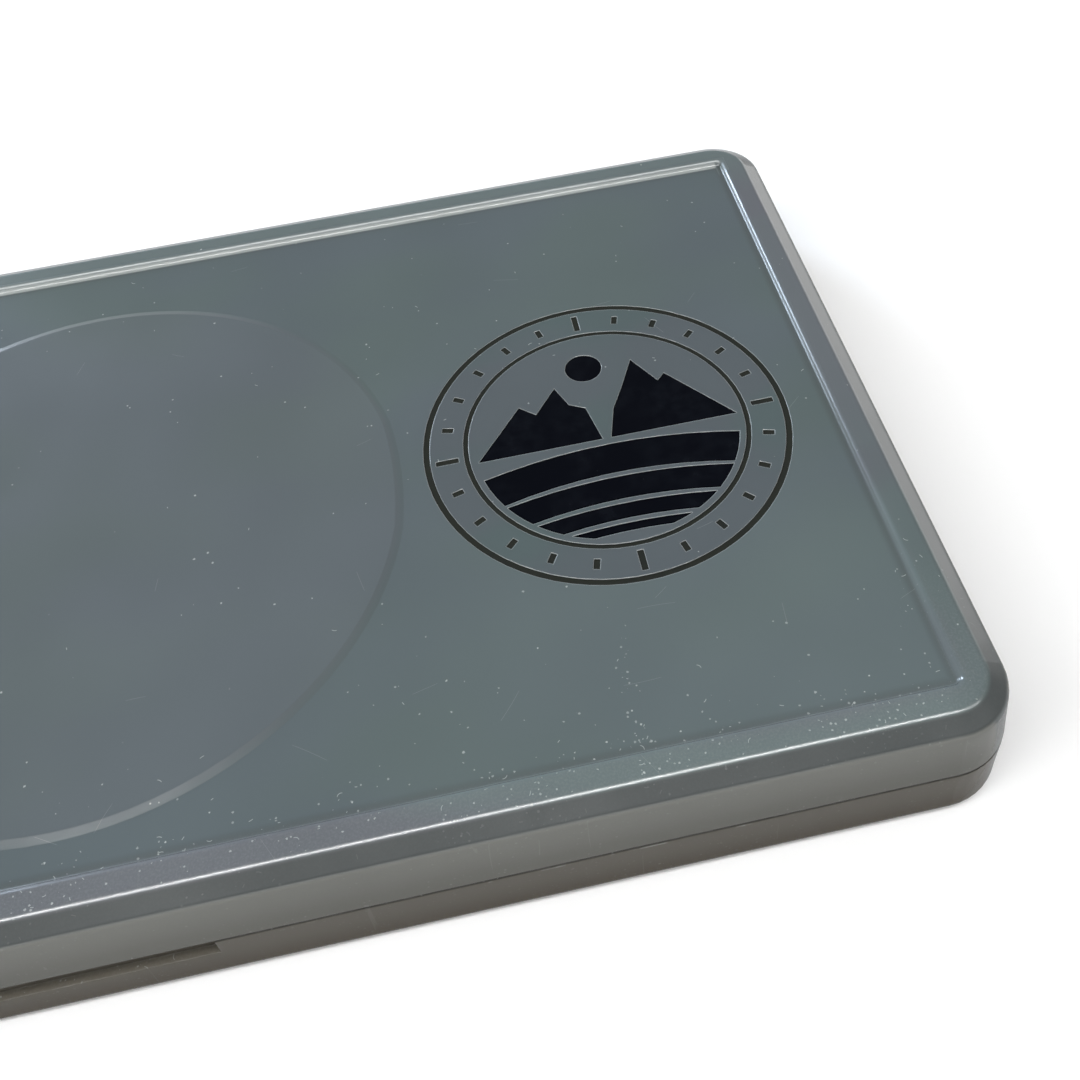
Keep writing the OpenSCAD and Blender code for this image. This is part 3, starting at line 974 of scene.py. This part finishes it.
@dataclass(frozen=True)
class BareMetal(Finish):
    """Drawn or plated metal with fine lines of its making and brighter edges."""

    colour: Colour = linear(188, 186, 182)
    dull_colour: Colour = linear(120, 118, 114)
    edge_colour: Colour = linear(226, 224, 220)
    grain: Point = (0.2, 6.0, 6.0)
    grain_tone: Span = (0.35, 0.7)
    grain_share: float = 0.35
    dull_share: float = 0.3
    edge_share: float = 0.5
    roughness: float = 0.18
    smudged_rougher: float = 0.08
    edge_radius_m: float = 0.00015
    relief: float = 0.3
    relief_m: float = 0.00001

    def dress(self, g: Graph, shader: bpy.types.Node) -> None:
        """Lines along the drawing direction, dull patches, bright worn edges.

        Args:
            g: the material's graph.
            shader: its Principled BSDF.
        """
        place = g.place_mm()
        smudge = Smudges().into(g, Place=place, Size=2.5)
        wear = EdgeWear().into(g, Radius=self.edge_radius_m)
        lines = g.noise(g.points("MULTIPLY", place, self.grain), detail=3.0, rough=0.6)
        lined = g.product(g.ramp(lines, *self.grain_tone), self.grain_share)
        metal = g.mixed(lined, self.colour, self.dull_colour)
        metal = g.mixed(g.product(smudge["Fine"], self.dull_share), metal, self.dull_colour)
        metal = g.mixed(g.product(wear["Mask"], self.edge_share), metal, self.edge_colour)
        rough = g.math("MULTIPLY_ADD", smudge["Broad"], self.smudged_rougher, self.roughness)
        normal = g.bump(lines, self.relief, self.relief_m, wear["Normal"])
        self.feed(g, shader, metal, rough, normal)
        shader.inputs["Metallic"].default_value = 1.0


@dataclass(frozen=True)
class AdhesiveFilm(Finish):
    """Thin clear-drying adhesive film under the mat, with trapped fibres."""

    colour: Colour = linear(196, 192, 178)
    pressed_colour: Colour = linear(168, 164, 150)
    fibre_colour: Colour = linear(214, 212, 204)
    pressed_share: float = 0.3
    fibre_share: float = 0.5
    roughness: float = 0.38
    smudged_rougher: float = 0.2
    relief: float = 0.3
    relief_m: float = 0.00003

    def dress(self, g: Graph, shader: bpy.types.Node) -> None:
        """Pale film, cloudy where it was pressed down, with a few fibres.

        Args:
            g: the material's graph.
            shader: its Principled BSDF.
        """
        place = g.place_mm()
        smudge = Smudges().into(g, Place=place, Size=5.0)
        fibre = Strokes().into(g, Place=place, Cell=2.5, Length=1.0, Width=0.05, Bend=0.8,
                               Share=0.4)
        pressed = g.product(smudge["Broad"], self.pressed_share)
        film = g.mixed(pressed, self.colour, self.pressed_colour)
        film = g.mixed(g.product(fibre["Mask"], self.fibre_share), film, self.fibre_colour)
        rough = g.math("MULTIPLY_ADD", smudge["Fine"], self.smudged_rougher, self.roughness)
        normal = g.bump(smudge["Fine"], self.relief, self.relief_m)
        self.feed(g, shader, film, rough, normal)


def dress_node(name: str, finish: Finish) -> None:
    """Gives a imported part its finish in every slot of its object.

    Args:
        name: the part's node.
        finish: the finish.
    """
    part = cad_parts[name]
    material = finish.material()
    if not part.material_slots:
        part.data.materials.append(material)
    for held in part.material_slots:
        held.material = material


@dataclass
class BaseTray:
    """The lower shell, which stands on the table; its walls carry a painted warm reflection and
    painted shade, deeper towards the bottom, and it is less glossy.
    """

    node: str = "base_shell"
    # Painted reflection and painted shade: the walls run from a warm grey to a brown near the
    # bottom.
    finish: Finish = field(default_factory=lambda: SmokePlastic(
        Slot.BASE, wall_high=linear(93, 89, 81), wall_shaded_low=linear(64, 56, 41), wall_z=(7.0, 0.8),
        gloss=0.16, dust=0.6))

    def build(self) -> None:
        """Dresses the tray."""
        dress_node(self.node, self.finish)


@dataclass
class Lid:
    """The upper shell with its sunk panel and raised oval, and the emblem filled with black."""

    shell: str = "lid_shell"
    emblem: str = "lid_emblem"
    shell_finish: Finish = field(default_factory=lambda: SmokePlastic(Slot.LID))
    emblem_finish: Finish = field(default_factory=lambda: EmblemInk(Slot.EMBLEM))

    def build(self) -> None:
        """Dresses the shell and the emblem."""
        dress_node(self.shell, self.shell_finish)
        dress_node(self.emblem, self.emblem_finish)


@dataclass
class Hinges:
    """The two steel pins in the rear knuckles."""

    pins: tuple[str, ...] = ("hinge_pin_right", "hinge_pin_left")
    finish: Finish = field(default_factory=lambda: BareMetal(Slot.PIN))

    def build(self) -> None:
        """Dresses both pins."""
        for pin in self.pins:
            dress_node(pin, self.finish)


@dataclass
class Closure:
    """The four nickel-plated magnets in the front corners."""

    magnets: tuple[str, ...] = ("base_magnet_right", "base_magnet_left", "lid_magnet_right",
                                "lid_magnet_left")
    finish: Finish = field(default_factory=lambda: BareMetal(
        Slot.MAGNET, colour=linear(200, 196, 188), grain=(1.4, 1.4, 1.4), roughness=0.14))

    def build(self) -> None:
        """Dresses the magnets."""
        for magnet in self.magnets:
            dress_node(magnet, self.finish)


@dataclass
class FlyMat:
    """The slotted silicone mat that holds the hooks, and the film that holds it down."""

    mat: str = "slit_mat"
    film: str = "mat_film"
    mat_finish: Finish = field(default_factory=lambda: Silicone(Slot.MAT))
    film_finish: Finish = field(default_factory=lambda: AdhesiveFilm(Slot.FILM))

    def build(self) -> None:
        """Dresses the mat and the film."""
        dress_node(self.mat, self.mat_finish)
        dress_node(self.film, self.film_finish)


@dataclass(frozen=True)
class Lamp:
    """A flat lamp that faces a point, its width level.

    A shine of 1 is as bright as a white sheet. A lamp that is for gloss only shows in
    reflections and lights nothing else.
    """

    name: str
    place: Point
    size: Span
    shine: float
    tone: Tone = Tone.PLAIN
    aim: Point = (0.0, 0.0, 0.0)
    gloss_only: bool = False

    def build(self) -> None:
        """Makes the lamp."""
        light = bpy.data.lights.new(self.name, "AREA")
        light.shape = "RECTANGLE"
        width, height = self.size
        light.size, light.size_y = width, height
        light.energy = self.shine * math.pi * width * height
        light.color = self.tone.value
        lamp = bpy.data.objects.new(self.name, light)
        lamp.location = self.place
        ahead = Vector(self.aim) - Vector(self.place)
        lamp.rotation_euler = ahead.to_track_quat("-Z", "Y").to_euler()
        lamp.visible_diffuse = not self.gloss_only
        lamp.visible_camera = False
        if self.gloss_only:
            light.use_nodes = True
            g = Graph(light.node_tree)
            first = g.math("LESS_THAN", g.add("LightPath").outputs["Diffuse Depth"], 0.5)
            g.feed(light.node_tree.nodes["Emission"].inputs["Strength"], first)
        bpy.context.scene.collection.objects.link(lamp)


@dataclass
class Studio:
    """Pale floor, even light from all round, soft lamps and a far white backdrop.

    The floor is floor_tone to the light and seen_tone to the camera, which also sees it
    glow with painted light that grows away from the box and washes out the shadow there.
    """

    floor_half: float = 6.0
    floor_tone: float = 0.55
    seen_tone: float = 0.88
    camera_glow: Span = (0.12, 1.0)
    camera_glow_reach: Span = (0.3, 1.6)
    gloss_lift: float = 0.1
    horizon: float = 0.85
    sky: float = 0.24
    ceiling: Span = (0.32, 0.10)
    lamps: tuple[Lamp, ...] = (
        Lamp("strip", (0.0, -0.35, 1.15), (2.4, 0.34), 6.2),
        Lamp("strip_core", (-0.36, -0.34, 1.12), (1.7, 0.18), 40.0, aim=(-0.36, 0.0, 0.0),
             gloss_only=True),
        Lamp("left", (-1.2, -0.35, 0.9), (0.9, 0.9), 2.4),
        Lamp("right", (1.15, 1.0, 0.3), (0.9, 0.5), 1.5),
        Lamp("front_card", (-0.2, -1.09, 0.5), (1.3, 0.26), 4.0, aim=(-0.2, 0.0, 0.0),
             gloss_only=True),
        Lamp("window", (-0.88, 1.25, 0.48), (0.6, 0.4), 26.0, Tone.COOL),
    )

    def build(self) -> None:
        """Makes the floor, the world and the lamps."""
        self.floor()
        self.world()
        for lamp in self.lamps:
            lamp.build()
        LOG.info("studio: floor, world and %d lamps", len(self.lamps))

    def floor(self) -> None:
        """A level sheet under the box, white for the camera where nothing shades it."""
        half = self.floor_half
        mesh = bpy.data.meshes.new("floor")
        mesh.from_pydata([(-half, -half, 0), (half, -half, 0), (half, half, 0), (-half, half, 0)],
                         [], [(0, 1, 2, 3)])
        floor = bpy.data.objects.new("floor", mesh)
        bpy.context.scene.collection.objects.link(floor)
        mesh.materials.append(self.paper())

    def paper(self) -> bpy.types.Material:
        """Makes the floor's material.

        Returns:
            The material.
        """
        paper = bpy.data.materials.new("floor_paper")
        paper.use_nodes = True
        g, shader = Graph(paper.node_tree), paper.node_tree.nodes["Principled BSDF"]
        shader.inputs["Roughness"].default_value = 0.9
        shader.inputs["Specular IOR Level"].default_value = 0.0
        shader.inputs["Emission Color"].default_value = (1.0, 1.0, 1.0, 1.0)
        path = g.add("LightPath").outputs
        seen = path["Is Camera Ray"]
        tone = g.math("MULTIPLY_ADD", seen, self.seen_tone - self.floor_tone, self.floor_tone)
        g.feed(shader.inputs["Base Color"], g.joined(tone, tone, tone))
        mirrored = g.most(path["Is Glossy Ray"], path["Is Transmission Ray"])
        away = g.length(g.add("TexCoord").outputs["Object"])
        # Painted light: the floor glows for the camera, more so far from the box.
        camera_glow = g.ramp(away, *self.camera_glow_reach, *self.camera_glow)
        g.feed(shader.inputs["Emission Strength"],
               g.math("MULTIPLY_ADD", seen, camera_glow, g.product(mirrored, self.gloss_lift)))
        return paper

    def world(self) -> None:
        """White backdrop round the floor under a dimmer ceiling; all white to the camera."""
        world = bpy.data.worlds.new("studio")
        bpy.context.scene.world = world
        world.use_nodes = True
        g, back = Graph(world.node_tree), world.node_tree.nodes["Background"]
        height = g.split(g.add("TexCoord").outputs["Generated"])[2]
        glow = g.ramp(height, *self.ceiling, self.sky, self.horizon)
        back.inputs["Color"].default_value = (1.0, 1.0, 1.0, 1.0)
        g.feed(back.inputs["Strength"], g.most(g.add("LightPath").outputs["Is Camera Ray"], glow))


@dataclass(frozen=True)
class Shot:
    """The camera's place in the photograph: it looks down on the box's right half."""

    place: Point = (0.04484, -0.10254, 0.12656)
    aim: Point = (0.05823, 0.01167, 0.01455)
    roll_deg: float = -6.013
    lens: float = 43.439
    sensor: float = 36.0
    shift: Span = (-0.0280, -0.1853)
    clip: Span = (0.01, 100.0)

    def build(self) -> None:
        """Makes the camera and makes it the scene's own."""
        camera = bpy.data.cameras.new("camera")
        camera.lens, camera.sensor_width = self.lens, self.sensor
        camera.shift_x, camera.shift_y = self.shift
        camera.clip_start, camera.clip_end = self.clip
        seat = bpy.data.objects.new("camera", camera)
        bpy.context.scene.collection.objects.link(seat)
        ahead = (Vector(self.aim) - Vector(self.place)).normalized()
        level = ahead.cross(Vector((0, 0, 1))).normalized()
        upright = level.cross(ahead)
        roll = math.radians(self.roll_deg)
        right = level * math.cos(roll) + upright * math.sin(roll)
        above = upright * math.cos(roll) - level * math.sin(roll)
        turn = Matrix((right, above, -ahead)).transposed()
        seat.matrix_world = Matrix.Translation(self.place) @ turn.to_4x4()
        bpy.context.scene.camera = seat
        LOG.info("camera: %.1f mm lens", self.lens)


def main() -> None:
    """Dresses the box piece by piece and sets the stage."""
    logging.basicConfig(level=logging.INFO, format="%(name)s: %(message)s", stream=sys.stdout)
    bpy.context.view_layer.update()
    bpy.context.scene.view_settings.view_transform = "Standard"
    for group in (BaseTray(), Lid(), Hinges(), Closure(), FlyMat(), Studio(), Shot()):
        group.build()


if __name__ == "__main__":
    main()
